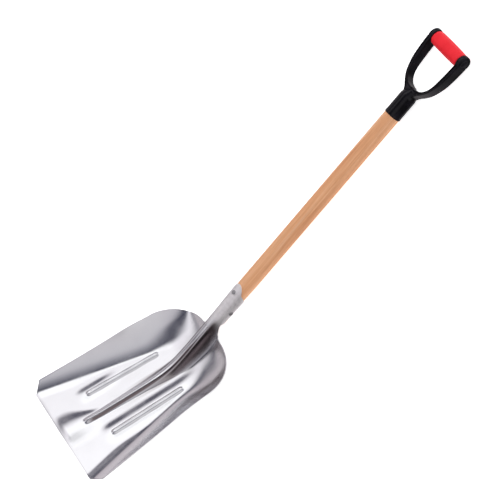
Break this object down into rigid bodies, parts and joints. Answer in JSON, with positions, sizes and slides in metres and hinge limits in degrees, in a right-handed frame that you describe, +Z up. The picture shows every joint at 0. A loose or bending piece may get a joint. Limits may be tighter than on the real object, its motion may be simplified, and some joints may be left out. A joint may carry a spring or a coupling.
{
  "type": "snow shovel",
  "caption": "Scoop shovel: pressed aluminium blade with clipped corners, wooden shaft and a moulded D-grip with a turning sleeve, lying face up.",
  "frame": {"origin": "middle of the ground area the tool covers, on the ground, as it lies face up on its heel and the collar of its grip", "axes": "+X to the right, +Y from the blade's leading edge to the grip, +Z up"},
  "size_m": [0.291, 1.1072, 0.1674],
  "materials": {
    "pressed_aluminium": "rolled sheet, polished to a soft shine",
    "oiled_wood": "turned and sanded, thin clear oil",
    "rivet_metal": "formed, dull",
    "black_plastic": "moulded polypropylene, half gloss",
    "bright_steel": "zinc plated",
    "red_plastic": "moulded, fine satin"
  },
  "bodies": {
    "shovel": {"scoop_blade": "pressed_aluminium", "wooden_shaft": "oiled_wood", "upper_socket_rivet": "rivet_metal", "lower_socket_rivet": "rivet_metal", "grip_yoke": "black_plastic", "ferrule_screw": "bright_steel", "crossbar_rod": "bright_steel", "right_rod_plug": "black_plastic", "left_rod_plug": "black_plastic"},
    "sleeve": {"grip_sleeve": "red_plastic"}
  },
  "joints": [
    {"name": "sleeve_spin", "type": "hinge", "parent": "shovel", "child": "sleeve", "pos_m": [0, 0.53676, 0.01726], "axis": [1, 0, 0], "continuous": true}
  ]
}
